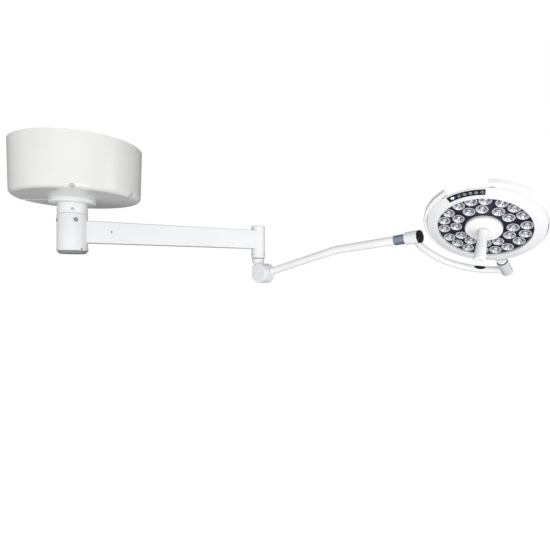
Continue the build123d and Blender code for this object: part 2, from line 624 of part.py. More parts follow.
def make_bezel():
    """The white rim ring round the lens panel, with a pocket for the control strip."""
    rim = turned([(RIM_INNER_R, RIM_LIP_Z), (149, -12), (168.6, RIM_EDGE_Z), (RIM_R, -5), (RIM_R, -1), (150, -1),
                  (150, -5.6), (139, -9), (139, -0.8), (RIM_INNER_R, -0.8)], {0: 1.2, 1: 6, 2: 0.8, 4: 0.8})
    rim -= strip_body(0.15, STRIP_T + 0.05, 3)
    for azimuth in button_azimuths():
        rim -= strip_place(azimuth) * rod(BUTTON_R + BUTTON_GAP, -BUTTON_DEPTH - 3, 3)
    save("head_bezel", HEAD_FRAME * rim)


def make_control_strip():
    strip = strip_body(0, STRIP_T)
    for azimuth in button_azimuths():
        strip -= strip_place(azimuth) * rod(BUTTON_R + BUTTON_GAP, -10, 10)
    save("control_strip", HEAD_FRAME * strip)
    cap = turned([(0, -BUTTON_DEPTH), (BUTTON_R, -BUTTON_DEPTH), (BUTTON_R, BUTTON_STAND), (0, BUTTON_STAND)],
                 {2: 0.5})
    for name, azimuth in zip(BUTTON_NAMES, button_azimuths()):
        save(name, HEAD_FRAME * strip_place(azimuth) * cap)


def led_places():
    """Radius and azimuth of every lens: six sectors of three outer and two inner lenses."""
    places = []
    for k in range(SECTORS):
        middle = 30 + 60 * k
        places += [(OUTER_RING_R, middle + offset) for offset in OUTER_OFFSETS]
        places += [(INNER_RING_R, middle + offset) for offset in INNER_OFFSETS]
    return places


def driver_board():
    """The board behind the heat sink that drives the lights and reads the buttons."""
    board = Pos(0, 0, 36) * Box(60, 50, 1.6) + Pos(-12, 0, 39.5) * Box(22, 20, 6)
    return board + Pos(16, 8, 38.5) * Box(12, 18, 4) + Pos(0, -18, 34) * Box(50, 8, 3)


def make_optics():
    panel = rod(PANEL_R, *PANEL_Z)
    lens = turned([(0, -6.6), (10, -6.2), (16.4, -5.0), (LENS_R, -4.0), (LENS_R, -1.2), (15.5, 0), (7, 12),
                   (0, 12)])
    emitter = Pos(0, 0, 12.2) * (rod(3, 0, 2.2) + Pos(0, 0, 1.6) * Box(9, 9, 1.2))
    lenses = []
    emitters = []
    for radius, azimuth in led_places():
        place = Rot(0, 0, azimuth) * Pos(radius, 0, 0)
        panel -= place * rod(LENS_R + FIT, -10, 5)
        lenses.append(HEAD_FRAME * place * lens)
        emitters.append(place * emitter)
    panel -= rod(10, -10, 5)
    save("lens_panel", HEAD_FRAME * panel)
    save("led_lenses", *lenses)
    boards = [turned([(60, 14.4), (137, 14.4), (137, 16), (60, 16)], arc=58, start=60 * k + 1)
              for k in range(SECTORS)]
    save("circuit_boards", *[HEAD_FRAME * part for part in boards + emitters + [driver_board()]])


def make_heat_sink():
    sink = ring(139, 12, 16, 20)
    for fin in spread(Pos(75, 0, 25) * Box(70, 2.4, 12), 24):
        sink += fin
    save("heat_sink", HEAD_FRAME * sink)


def grip(start):
    """One grab rail that follows the rim, with two feet on the shell."""
    low, high = GRIP_Z
    inner, outer = GRIP_R
    section = [(inner, low), (outer, low), (outer, high), (inner, high)]
    rail = turned(section, {0: 4, 1: 5, 2: 5, 3: 4}, arc=GRIP_ARC, start=start)
    foot = Pos((SHELL_R + inner) / 2, 0, 7.5) * Box(inner - SHELL_R + 8, 15, 13)
    foot = fillet(foot.edges().filter_by(Axis.X), 3)
    for azimuth in (start + 4.5, start + GRIP_ARC - 4.5):
        rail += Rot(0, 0, azimuth) * foot
    return rail - turned(SHELL_OUTLINE + [(0, SHELL_TOP_Z), (0, -1)], SHELL_ROUNDS)


def make_grips():
    save("right_grip", HEAD_FRAME * grip(GRIP_END_AZIMUTH - GRIP_ARC))
    save("left_grip", HEAD_FRAME * grip(180 - GRIP_END_AZIMUTH))


def make_tilt_stub():
    """The flared stub and shaft on the shell's side that the head tilts on."""
    neck_r = 15.0
    shoulder = PIVOT_Y[0] - 3.5
    tip = 233.0
    stub = turned([(0, 150), (27, 150), (27, 157), (neck_r, 173), (neck_r, shoulder), (TILT_SHAFT_R, shoulder),
                   (TILT_SHAFT_R, tip), (0, tip)], {2: 8, 3: 14, 4: 0.8})
    stub = on_y(stub)
    stub -= turned(SHELL_OUTLINE + [(0, SHELL_TOP_Z), (0, -1)], SHELL_ROUNDS)
    stub -= turned([(0, -60), (RIM_R + 0.3, -60), (RIM_R + 0.3, -0.8), (0, -0.8)])
    save("tilt_stub", HEAD_FRAME * stub)
    save("tilt_nut", HEAD_FRAME * on_y(ring(12.2, TILT_SHAFT_R + 0.02, tip - 6.5, tip)))


HUB_SLOT_AZIMUTH = 15.0
HUB_SLOT_R = 38.0


def make_centre_hub():
    """The low white hub in the middle of the panel, with the fixed stem of the handle."""
    bore = STEM_R + FIT
    wall_r = CENTRE_HUB_R - 3
    hub = turned([(bore, -20), (34, -19.2), (wall_r, CENTRE_HUB_Z), (CENTRE_HUB_R, -14),
                  (CENTRE_HUB_R, PANEL_Z[0]), (wall_r, PANEL_Z[0]), (wall_r, -13), (34, -16), (bore, -16.8)],
                 {1: 40, 2: 4, 3: 2})
    for turn in (0, 180):
        hub -= Rot(0, 0, HUB_SLOT_AZIMUTH + turn) * Pos(HUB_SLOT_R, 0, -19.5) * Box(1.4, 18, 3)
    save("centre_hub", HEAD_FRAME * hub)
    stem = turned([(0, PANEL_Z[0]), (24, PANEL_Z[0]), (24, -8), (STEM_R, -8), (STEM_R, -110), (0, -110)],
                  {4: 1.5})
    save("handle_stem", HEAD_FRAME * stem)


def make_sterile_handle():
    top_r, end_r = HANDLE_R
    bore = STEM_R + 0.3
    bore_end = -112.0
    handle = turned([(bore, HANDLE_TOP_Z), (top_r, HANDLE_TOP_Z), (end_r, HANDLE_END_Z), (0, HANDLE_END_Z),
                     (0, bore_end), (bore, bore_end)], {1: 1, 2: 2.2})
    save("sterile_handle", HEAD_FRAME * handle)


make_ceiling_plate()
make_down_tube()
make_tube_bolts()
make_canopy()
make_collar()
make_power_supply()
make_spindle()
make_sleeve()
make_main_bearings()
make_brake_screws()
make_arm_box()
make_swivel_housing()
make_swivel_shaft()
make_swivel_post()
make_knuckle_pin()
make_arm_boss()
make_spring_arm_tube()
make_wrist()
make_roll_hub()
make_yoke()
make_pivot()
make_head_shell()
make_bezel()
make_control_strip()
make_optics()
make_heat_sink()
make_grips()
make_tilt_stub()
make_centre_hub()
make_sterile_handle()
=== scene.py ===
import bmesh
import bpy
import json
from math import atan2, cos, degrees, pi, radians, sin, tau
from mathutils import Matrix, Vector


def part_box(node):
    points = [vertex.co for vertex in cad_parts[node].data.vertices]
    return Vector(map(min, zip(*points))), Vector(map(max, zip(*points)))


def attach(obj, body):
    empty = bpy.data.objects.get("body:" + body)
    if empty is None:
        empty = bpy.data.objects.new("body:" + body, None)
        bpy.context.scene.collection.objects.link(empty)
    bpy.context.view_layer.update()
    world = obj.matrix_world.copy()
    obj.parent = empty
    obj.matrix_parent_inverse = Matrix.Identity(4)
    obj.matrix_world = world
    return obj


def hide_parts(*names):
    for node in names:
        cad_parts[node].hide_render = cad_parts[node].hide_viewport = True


# The looks of a ceiling-mounted surgical light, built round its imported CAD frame. Lengths are in metres, and
# angles in degrees where nothing else is said. Places come from the frame's nodes and joints, and the few
# sizes that they can't give are named below.

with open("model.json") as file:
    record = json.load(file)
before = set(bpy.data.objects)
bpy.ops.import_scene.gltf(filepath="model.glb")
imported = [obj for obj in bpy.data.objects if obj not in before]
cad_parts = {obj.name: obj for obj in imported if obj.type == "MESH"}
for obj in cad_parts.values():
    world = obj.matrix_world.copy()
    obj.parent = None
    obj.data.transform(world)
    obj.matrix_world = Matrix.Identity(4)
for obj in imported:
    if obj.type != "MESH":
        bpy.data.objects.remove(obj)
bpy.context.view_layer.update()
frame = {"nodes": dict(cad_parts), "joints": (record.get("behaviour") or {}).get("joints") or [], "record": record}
nodes = frame["nodes"]
joints = {joint["name"]: joint for joint in frame["joints"]}
MM = 0.001
UP = Vector((0, 0, 1))
CORNERS = ((-1, -1), (1, -1), (1, 1), (-1, 1))
BUTTONS = ("power_button", "dimmer_down_button", "dimmer_up_button", "colour_button", "depth_button")


# ================================================================ frames of the moving groups
def frame_matrix(origin, x_axis, y_axis):
    """A part's own axes: X as given, and Y as near to its direction as a right angle to X allows."""
    x = Vector(x_axis).normalized()
    z = x.cross(Vector(y_axis)).normalized()
    y = z.cross(x)
    matrix = Matrix((x, y, z)).transposed().to_4x4()
    matrix.translation = Vector(origin)
    return matrix


ROLL_AXIS = Vector(joints["yoke_roll"]["axis"])
TILT_AXIS = Vector(joints["head_tilt"]["axis"])
TILT_POINT_R = 0.21           # the tilt joint's point lies this far from the head's centre
HEAD_CENTRE = Vector(joints["head_tilt"]["pos_m"]) - TILT_AXIS * TILT_POINT_R
HEAD = frame_matrix(HEAD_CENTRE, ROLL_AXIS, TILT_AXIS)
LIFT_AXIS = Vector(joints["spring_arm_lift"]["axis"])
KNUCKLE = frame_matrix(joints["spring_arm_lift"]["pos_m"], UP.cross(LIFT_AXIS), -LIFT_AXIS)
SWIVEL = Matrix.Translation((*joints["arm_swivel"]["pos_m"][:2], 0))


def about_z(turn):
    return Matrix.Rotation(radians(turn), 4, "Z")


def about_y(turn):
    return Matrix.Rotation(radians(turn), 4, "Y")


def move(x, y, z):
    return Matrix.Translation((x, y, z))


def level_direction(azimuth):
    return Vector((cos(radians(azimuth)), sin(radians(azimuth)), 0))


def islands(node):
    """The middle of the box round each separate solid of a node."""
    same_place = 1e-5
    mesh = bmesh.new()
    mesh.from_mesh(nodes[node].data)
    bmesh.ops.remove_doubles(mesh, verts=mesh.verts, dist=same_place)
    left = set(mesh.verts)
    centres = []
    for start in mesh.verts:
        if start not in left:
            continue
        left.discard(start)
        stack = [start]
        low = start.co.copy()
        high = start.co.copy()
        while stack:
            vert = stack.pop()
            for k in range(3):
                low[k] = min(low[k], vert.co[k])
                high[k] = max(high[k], vert.co[k])
            for edge in vert.link_edges:
                other = edge.other_vert(vert)
                if other in left:
                    left.discard(other)
                    stack.append(other)
        centres.append((low + high) / 2)
    mesh.free()
    return centres


# ================================================================ materials
class Nodes:
    """A short way to build one material's node tree."""

    def __init__(self, name):
        self.material = bpy.data.materials.new(name)
        self.material.use_nodes = True
        self.tree = self.material.node_tree
        self.shader = self.tree.nodes["Principled BSDF"]
        self.coords = self.add("ShaderNodeTexCoord").outputs["Object"]

    def add(self, kind, **settings):
        node = self.tree.nodes.new(kind)
        for key, value in settings.items():
            setattr(node, key, value)
        return node

    def join(self, source, target):
        self.tree.links.new(source, target)

    def noise(self, scale, detail=3.0, roughness=0.55, stretch=None):
        node = self.add("ShaderNodeTexNoise")
        node.inputs["Scale"].default_value = scale
        node.inputs["Detail"].default_value = detail
        node.inputs["Roughness"].default_value = roughness
        coords = self.coords
        if stretch:
            mapping = self.add("ShaderNodeMapping")
            mapping.inputs["Scale"].default_value = stretch
            self.join(coords, mapping.inputs["Vector"])
            coords = mapping.outputs["Vector"]
        self.join(coords, node.inputs["Vector"])
        return node.outputs["Fac"]

    def cells(self, scale):
        node = self.add("ShaderNodeTexVoronoi")
        node.inputs["Scale"].default_value = scale
        self.join(self.coords, node.inputs["Vector"])
        return node.outputs["Distance"]

    def ranged(self, value, low, high, new_low, new_high):
        node = self.add("ShaderNodeMapRange")
        keys = ("From Min", "From Max", "To Min", "To Max")
        for key, number in zip(keys, (low, high, new_low, new_high)):
            node.inputs[key].default_value = number
        self.join(value, node.inputs["Value"])
        return node.outputs["Result"]

    def mix(self, factor, first, second):
        """A colour between two; each may be a colour or a socket."""
        node = self.add("ShaderNodeMix", data_type="RGBA")
        for value, socket in ((first, node.inputs["A"]), (second, node.inputs["B"])):
            if isinstance(value, tuple):
                socket.default_value = (*value, 1.0)
            else:
                self.join(value, socket)
        sockets = {s.identifier: s for s in node.inputs}
        self.join(factor, sockets["Factor_Float"])
        outs = {s.identifier: s for s in node.outputs}
        return outs["Result_Color"]

    def crevices(self, reach):
        """High in corners and seams, low on open faces."""
        node = self.add("ShaderNodeAmbientOcclusion", samples=8)
        node.inputs["Distance"].default_value = reach
        return self.ranged(node.outputs["AO"], 0.35, 0.80, 1.0, 0.0)

    def bump(self, height, distance, under=None):
        node = self.add("ShaderNodeBump")
        node.inputs["Distance"].default_value = distance
        self.join(height, node.inputs["Height"])
        if under is not None:
            self.join(under, node.inputs["Normal"])
        return node.outputs["Normal"]

    def set(self, **values):
        for key, value in values.items():
            socket = self.shader.inputs[key.replace("_", " ")]
            if isinstance(value, bpy.types.NodeSocket):
                self.join(value, socket)
            else:
                socket.default_value = value
        return self.material


CORNER_REACH = 0.006          # how far the painted shade in corners, and the dust there, spreads out of a corner


def coated(name, colour, shade_and_dust, roughness, grain=700.0, peel=0.000008, coat=0.25):
    """A painted or moulded surface: fine grain or orange peel, cloudy tone, and painted shade in the corners,
    which stands also for dust.
    """
    n = Nodes(name)
    tone = tuple(c * 0.965 for c in colour)
    base = n.mix(n.ranged(n.noise(7.0, 4.0), 0.35, 0.65, 0.0, 1.0), colour, tone)
    # Painted shade, standing also for dust: the colour darkens towards the second colour in corners and seams.
    base = n.mix(n.crevices(CORNER_REACH), base, shade_and_dust)
    rough = n.ranged(n.noise(38.0, 5.0), 0.3, 0.7, roughness - 0.05, roughness + 0.07)
    fine = n.bump(n.noise(grain, 2.0), peel)
    normal = n.bump(n.noise(55.0, 2.0), peel * 2.5, under=fine)
    return n.set(Base_Color=base, Roughness=rough, Normal=normal, Coat_Weight=coat, Coat_Roughness=0.12)


def metal(name, colour, dark, roughness, stretch=(1, 1, 1), scale=260.0):
    """Turned or brushed metal: long fine scratches, uneven gloss and painted shade that darkens the corners."""
    n = Nodes(name)
    brushed = n.noise(scale, 4.0, 0.7, stretch)
    base = n.mix(n.ranged(brushed, 0.3, 0.7, 0.0, 0.6), colour, dark)
    # Painted shade: the colour darkens in corners and seams.
    base = n.mix(n.crevices(CORNER_REACH), base, tuple(c * 0.4 for c in dark))
    rough = n.ranged(n.noise(60.0, 4.0), 0.3, 0.7, roughness - 0.08, roughness + 0.12)
    return n.set(Base_Color=base, Roughness=rough, Normal=n.bump(brushed, 0.00002), Metallic=1.0)


def dark_plastic(name, colour, sheen_colour, roughness, grain, coat=0.0, specular=0.25):
    """Moulded dark plastic or rubber: grain, faint scuffs and grey dust in the corners."""
    n = Nodes(name)
    base = n.mix(n.ranged(n.noise(9.0, 5.0), 0.35, 0.7, 0.0, 0.5), colour, sheen_colour)
    base = n.mix(n.ranged(n.crevices(CORNER_REACH), 0.3, 1.0, 0.0, 0.35), base, sheen_colour)
    scuffs = n.noise(90.0, 6.0, 0.7, (1, 6, 1))
    rough = n.ranged(scuffs, 0.35, 0.7, roughness - 0.04, roughness + 0.10)
    normal = n.bump(n.cells(grain), 0.000015)
    return n.set(Base_Color=base, Roughness=rough, Normal=normal, Coat_Weight=coat, Coat_Roughness=0.05,
                 Specular_IOR_Level=specular)


def clear_cover(name):
    """A thin clear front: mostly see-through, with a hard gloss and a trace of wiping marks."""
    n = Nodes(name)
    haze = n.noise(140.0, 5.0, 0.65, (1, 4, 1))
    alpha = n.ranged(haze, 0.35, 0.75, 0.05, 0.12)
    rough = n.ranged(haze, 0.3, 0.7, 0.02, 0.12)
    base = n.mix(n.ranged(n.noise(30.0), 0.3, 0.7, 0.0, 1.0), (0.86, 0.88, 0.93), (0.78, 0.80, 0.88))
    return n.set(Base_Color=base, Roughness=rough, Alpha=alpha, Coat_Weight=1.0, Coat_Roughness=0.02)


def silvered(name):
    """The lens body: bright silver-white with cool grey facets."""
    n = Nodes(name)
    facets = n.ranged(n.cells(260.0), 0.1, 0.7, 0.0, 1.0)
    base = n.mix(facets, (0.90, 0.91, 0.96), (0.46, 0.47, 0.54))
    base = n.mix(n.ranged(n.noise(320.0, 3.0), 0.55, 0.75, 0.0, 0.6), base, (0.26, 0.27, 0.33))
    rough = n.ranged(n.noise(110.0, 3.0), 0.3, 0.7, 0.22, 0.40)
    normal = n.bump(n.cells(420.0), 0.0001)
    return n.set(Base_Color=base, Roughness=rough, Normal=normal, Metallic=0.4, Coat_Weight=0.5,
                 Coat_Roughness=0.08)


def glowing(name, colour, other, strength):
    """A lit display colour with a pixel grid."""
    n = Nodes(name)
    grid = n.ranged(n.cells(2200.0), 0.2, 0.6, 0.0, 1.0)
    base = n.mix(grid, colour, other)
    rough = n.ranged(n.noise(300.0), 0.3, 0.7, 0.25, 0.4)
    return n.set(Base_Color=base, Roughness=rough, Emission_Color=base, Emission_Strength=strength)


# The second colour of each coated look is the painted shade in its corners, which stands also for dust.
enamel_warm = coated("canopy_enamel", (0.82, 0.825, 0.81), (0.56, 0.56, 0.53), 0.35, coat=0.45)
enamel = coated("white_enamel", (0.83, 0.835, 0.848), (0.52, 0.53, 0.54), 0.36)
enamel_tube = coated("tube_enamel", (0.93, 0.935, 0.94), (0.60, 0.61, 0.61), 0.36)
enamel_arm = coated("spring_arm_enamel", (0.93, 0.93, 0.932), (0.58, 0.58, 0.58), 0.36)
head_white = coated("head_white", (0.87, 0.87, 0.895), (0.52, 0.52, 0.56), 0.35, grain=1100.0, coat=0.4)
grip_white = coated("grip_white", (0.96, 0.962, 0.97), (0.60, 0.60, 0.62), 0.38, grain=900.0, peel=0.000012)
handle_white = coated("handle_white", (0.95, 0.95, 0.95), (0.56, 0.56, 0.57), 0.36, grain=800.0)
cover_grey = coated("cover_grey", (0.86, 0.885, 0.90), (0.48, 0.50, 0.50), 0.42, grain=600.0, peel=0.000012)
pivot_grey = coated("pivot_grey", (0.61, 0.62, 0.65), (0.38, 0.39, 0.42), 0.35)
cap_grey = coated("cap_grey", (0.25, 0.25, 0.26), (0.18, 0.18, 0.18), 0.5, coat=0.0)
# This grey colours the thin rings of painted shadow round the canopy's screw washers.
painted_shadow_grey = coated("painted_shadow_grey", (0.42, 0.42, 0.42), (0.2, 0.2, 0.2), 0.6, coat=0.0)
screw_grey = coated("screw_grey", (0.50, 0.50, 0.50), (0.16, 0.16, 0.16), 0.40, coat=0.0)
steel = metal("turned_steel", (0.70, 0.71, 0.73), (0.42, 0.43, 0.45), 0.30)
aluminium = metal("aluminium", (0.80, 0.81, 0.82), (0.58, 0.59, 0.61), 0.34)
sleeve_blue = metal("wrist_blue", (0.40, 0.45, 0.56), (0.28, 0.32, 0.42), 0.42, (3, 3, 3), 420.0)
bronze = metal("bronze", (0.62, 0.45, 0.22), (0.38, 0.26, 0.12), 0.38)
black = dark_plastic("black_plastic", (0.009, 0.009, 0.011), (0.022, 0.022, 0.025), 0.38, 900.0,
                     specular=0.15)
rubber = dark_plastic("black_rubber", (0.02, 0.02, 0.022), (0.09, 0.09, 0.095), 0.62, 700.0)
panel_dark = dark_plastic("panel_gloss", (0.008, 0.008, 0.022), (0.035, 0.035, 0.07), 0.16, 1200.0,
                          coat=0.25)
strip_black = dark_plastic("strip_gloss", (0.004, 0.004, 0.006), (0.02, 0.02, 0.026), 0.12, 1500.0, coat=0.2)
green_board = dark_plastic("circuit_board", (0.02, 0.10, 0.05), (0.05, 0.22, 0.12), 0.35, 600.0, coat=0.3)
lens_silver = silvered("lens_silver")
lens_cover = clear_cover("lens_cover")
screen_white = glowing("screen_white", (0.90, 0.92, 1.0), (0.55, 0.58, 0.75), 0.9)
screen_blue = glowing("screen_blue", (0.10, 0.06, 0.55), (0.03, 0.02, 0.25), 0.5)
screen_lime = glowing("screen_lime", (0.62, 0.75, 0.18), (0.30, 0.40, 0.08), 0.7)
icon_white = coated("icon_white", (0.80, 0.80, 0.84), (0.55, 0.55, 0.60), 0.45, coat=0.0)

SLOT_LOOKS = {
    "white_enamel": enamel, "white_plastic": head_white, "steel": steel, "aluminium": aluminium,
    "blue_grey_metal": sleeve_blue, "black_plastic": black, "panel_plastic": panel_dark,
    "strip_plastic": strip_black, "lens_clear": lens_silver, "bronze": bronze,
    "circuit_board": green_board, "cable_sheath": rubber, "seal_rubber": rubber,
}
NODE_LOOKS = {
    "canopy_front_half": enamel_warm, "canopy_rear_half": enamel_warm, "canopy_screws": screw_grey,
    "canopy_collar": enamel_tube, "down_tube": enamel_tube, "sleeve_cap": cap_grey,
    "post_cover": cover_grey, "arm_boss_cover": cover_grey, "spring_arm_tube": enamel_arm,
    "pivot_housing": pivot_grey, "tilt_stub": head_white, "left_grip": grip_white,
    "right_grip": grip_white, "centre_hub": handle_white, "sterile_handle": handle_white,
}


def dress_cad():
    """Gives every CAD node its material: its own look, or else the one of its slot."""
    slots = {part["node"]: part["material_slot"] for part in frame["record"]["subparts"]}
    for name, thing in nodes.items():
        look = NODE_LOOKS.get(name, SLOT_LOOKS[slots[name]])
        thing.data.materials.clear()
        thing.data.materials.append(look)


# ================================================================ mesh building
def finish_piece(name, mesh, look, body):
    """Turns a bmesh into an object that rides on a body."""
    sharp_from = 35
    bmesh.ops.recalc_face_normals(mesh, faces=mesh.faces)
    data = bpy.data.meshes.new(name)
    mesh.to_mesh(data)
    mesh.free()
    for polygon in data.polygons:
        polygon.use_smooth = True
    data.materials.append(look)
    data.set_sharp_from_angle(angle=radians(sharp_from))
    thing = bpy.data.objects.new(name, data)
    bpy.context.scene.collection.objects.link(thing)
    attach(thing, body)
    return thing


def in_mm(points):
    """Outline points given in millimetres, as metres."""
    return [(first * MM, second * MM) for first, second in points]


TOUCHING = 1e-7               # points closer than this to the axis, or to each other, are the same


def lathe(mesh, profile, place, segments, flutes=0, depth=0.0):
    """Turns (radius, height) points about Z into a mesh; flutes press shallow waves into it."""
    loops = []
    for radius, z in profile:
        if radius < TOUCHING:
            loops.append([mesh.verts.new(place @ Vector((0, 0, z)))])
            continue
        loop = []
        for k in range(segments):
            angle = tau * k / segments
            wave = depth * cos(flutes * angle) if flutes else 0.0
            point = Vector((radius * cos(angle), radius * sin(angle), z + wave))
            loop.append(mesh.verts.new(place @ point))
        loops.append(loop)
    for first, second in zip(loops, loops[1:]):
        for k in range(segments):
            after = (k + 1) % segments
            if len(first) == 1:
                mesh.faces.new((first[0], second[k], second[after]))
            elif len(second) == 1:
                mesh.faces.new((first[k], second[0], first[after]))
            else:
                mesh.faces.new((first[k], second[k], second[after], first[after]))


def closed_lathe(mesh, profile, place, segments):
    """Turns a closed section, such as a washer's, about Z."""
    lathe(mesh, profile + [profile[0]], place, segments)
    bmesh.ops.remove_doubles(mesh, verts=mesh.verts, dist=TOUCHING)


def ribbon(mesh, points, width, height, place, closed=False):
    """A flat raised line through 2-D points, as printed or inlaid on a face at Z = 0."""
    count = len(points)
    corners = []
    for k, point in enumerate(points):
        before = Vector(points[(k - 1) % count] if closed or k else point)
        after = Vector(points[(k + 1) % count] if closed or k < count - 1 else point)
        way = (after - before).normalized()
        side = Vector((-way.y, way.x)) * width / 2
        here = Vector(point)
        corners.append([mesh.verts.new(place @ Vector((*(here + side * s), z)))
                        for s, z in ((1, 0), (1, height), (-1, height), (-1, 0))])
    pairs = list(zip(corners, corners[1:])) + ([(corners[-1], corners[0])] if closed else [])
    for first, second in pairs:
        for k in range(4):
            after = (k + 1) % 4
            mesh.faces.new((first[k], first[after], second[after], second[k]))
    if not closed:
        mesh.faces.new(corners[0])
        mesh.faces.new(corners[-1])


def arc_points(radius, start, end, steps=20):
    """Points on an arc about (0, 0), with both its ends."""
    angles = [radians(start + (end - start) * k / steps) for k in range(steps + 1)]
    return [(radius * cos(angle), radius * sin(angle)) for angle in angles]


def circle_points(radius, steps):
    return arc_points(radius, 0, 360, steps)[:-1]


def wire(name, points, radius, look, body, closed=True):
    """A round bead along points, such as a weld or a seal."""
    curve = bpy.data.curves.new(name, "CURVE")
    curve.dimensions = "3D"
    curve.bevel_depth = radius
    curve.bevel_resolution = 3
    spline = curve.splines.new("POLY")
    spline.points.add(len(points) - 1)
    for target, point in zip(spline.points, points):
        target.co = (*point, 1.0)
    spline.use_cyclic_u = closed
    curve.materials.append(look)
    thing = bpy.data.objects.new(name, curve)
    bpy.context.scene.collection.objects.link(thing)
    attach(thing, body)


# ================================================================ screws
def screw_shape(mesh, place, radius, height):
    """A pan head with a round recess, on a flat face at Z = 0."""
    head = [(1.0, 0), (1.0, 0.55), (0.8, 0.9), (0.45, 1.0), (0.35, 0.45), (0, 0.3)]
    lathe(mesh, [(radius * wide, height * high) for wide, high in head], place, 24)
    lathe(mesh, [(radius, 0), (0, 0)], place, 24)


def socket_shape(mesh, place, radius, depth):
    """The visible end of a set screw: a rounded rim and a hexagon socket."""
    rim = [(1.0, 0), (0.94, 0.2), (0.7, 0.22), (0.6, 0)]
    socket = [(0.6, 0), (0.52, -0.1), (0, -0.1)]
    lathe(mesh, [(radius * wide, depth * high) for wide, high in rim], place, 32)
    lathe(mesh, [(radius * wide, depth * high) for wide, high in socket], place, 6)


# ================================================================ ceiling group and level arm
sleeve_low, sleeve_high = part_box("arm_sleeve")
arm_low, arm_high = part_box("arm_box")
TUBE_END_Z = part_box("down_tube")[0].z
COLLAR_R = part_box("canopy_collar")[1].x
SLEEVE_R = sleeve_high.x
HOUSING_R = 0.03175
DRUM_MIDDLE = Vector((0.019, -0.0105, 0.0))
DRUM_LOW_R = 0.226
DRUM_LOW_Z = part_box("canopy_front_half")[0].z
CANOPY_ROUND = 0.018          # the rounded edge between the canopy's wall and its underside
CANOPY_SCREW_TILT = 40.0      # how far its screws point down from level
CANOPY_SIDE_SCREWS = [-163.0, -40.0]
CANOPY_SEAM_ANGLE = 153.0
SEAM_R = 0.0015
SEAM_END = -18.0              # on the rounded edge, where -90 is its lower end and 0 its upper end


def build_swivel_ring():
    """The pale washer that shows between the fixed tube and the turning sleeve."""
    bore = 0.044
    radius = 0.0524
    lip = 0.0004
    low = sleeve_high.z + 0.0005
    high = TUBE_END_Z - 0.0003
    profile = [(bore, low), (radius, low), (radius + lip, low + 0.0006), (radius, high), (bore, high)]
    mesh = bmesh.new()
    closed_lathe(mesh, profile, Matrix(), 96)
    finish_piece("swivel_ring", mesh, cover_grey, "ceiling_mount")


def canopy_edge_frame(azimuth):
    """On the canopy's rounded lower edge, half-way round it: Z points out of the surface."""
    out = level_direction(azimuth)
    normal = out * cos(radians(CANOPY_SCREW_TILT)) - UP * sin(radians(CANOPY_SCREW_TILT))
    middle = DRUM_MIDDLE + UP * (DRUM_LOW_Z + CANOPY_ROUND)
    point = middle + out * (DRUM_LOW_R - CANOPY_ROUND) + normal * CANOPY_ROUND
    across = out.cross(UP)
    return frame_matrix(point, across, normal.cross(across))


def build_canopy_screw_rings():
    """Pale washers round the canopy's screws, each in a thin grey ring of painted shadow, and the two screws at
    its sides.
    """
    ring = in_mm([(5.6, -0.2), (8.5, -0.4), (8.2, 0.8), (5.6, 1.0)])
    # The next outline is a thin grey ring of painted shadow, such as a groove would cast, round each washer.
    shadow_ring = in_mm([(8.5, -0.6), (10.0, -1.0), (9.8, 0.2), (8.5, 0.4)])
    rings = bmesh.new()
    shadow_rings = bmesh.new()
    screws = bmesh.new()
    azimuths = []
    for centre in islands("canopy_screws"):
        offset = centre - DRUM_MIDDLE
        azimuths.append(degrees(atan2(offset.y, offset.x)))
    for azimuth in azimuths + CANOPY_SIDE_SCREWS:
        place = canopy_edge_frame(azimuth)
        closed_lathe(rings, ring, place, 32)
        closed_lathe(shadow_rings, shadow_ring, place, 32)
    for azimuth in CANOPY_SIDE_SCREWS:
        screw_shape(screws, canopy_edge_frame(azimuth), 4.8 * MM, 1.2 * MM)
    finish_piece("canopy_screw_rings", rings, icon_white, "ceiling_mount")
    finish_piece("canopy_screw_shadow_rings", shadow_rings, painted_shadow_grey, "ceiling_mount")
    finish_piece("canopy_side_screws", screws, screw_grey, "ceiling_mount")


def build_canopy_seam():
    """The white bead along the joint of the canopy halves, from the collar out over the rounded edge."""
    along = level_direction(CANOPY_SEAM_ANGLE)
    edge = DRUM_LOW_R - CANOPY_ROUND + DRUM_MIDDLE.dot(along)
    points = [along * COLLAR_R + UP * DRUM_LOW_Z]
    for out, rise in arc_points(CANOPY_ROUND, -90, SEAM_END, 6):
        points.append(along * (edge + out) + UP * (DRUM_LOW_Z + CANOPY_ROUND + rise))
    wire("canopy_seam", points, SEAM_R, icon_white, "ceiling_mount", closed=False)


def sleeve_frame(out, z, sunk):
    """On the sleeve's surface, sunk into it a little: Z points outwards."""
    return frame_matrix(out * (SLEEVE_R - sunk) + UP * z, UP, out.cross(UP))


def build_brake_rims():
    """A dark rubber rim round each brake screw on the sleeve."""
    rim = in_mm([(5.0, 0), (7.8, -0.2), (7.6, 0.8), (5.2, 1.0)])
    mesh = bmesh.new()
    for centre in islands("brake_screws"):
        out = Vector((centre.x, centre.y, 0)).normalized()
        closed_lathe(mesh, rim, sleeve_frame(out, centre.z, 0.4 * MM), 40)
    finish_piece("brake_rims", mesh, rubber, "main_arm")


def weld_path(radius, side):
    """Where the level arm meets a round pole, on the pole's +X side (1) or its -X side (-1)."""
    corner = 6 * MM
    spacing = 3 * MM
    half = arm_high.y - corner
    top = arm_high.z - corner
    bottom = arm_low.z + corner
    outline = []
    for y, z, first in ((half, top, 0), (-half, top, 90), (-half, bottom, 180), (half, bottom, 270)):
        outline += [(y + dy, z + dz) for dy, dz in arc_points(corner, first, first + 90, 6)]
    points = []
    for (y, z), (next_y, next_z) in zip(outline, outline[1:] + outline[:1]):
        steps = max(1, int(((next_y - y) ** 2 + (next_z - z) ** 2) ** 0.5 / spacing))
        for k in range(steps):
            here_y = y + (next_y - y) * k / steps
            here_z = z + (next_z - z) * k / steps
            points.append(Vector((side * (radius ** 2 - here_y ** 2) ** 0.5, here_y, here_z)))
    return points


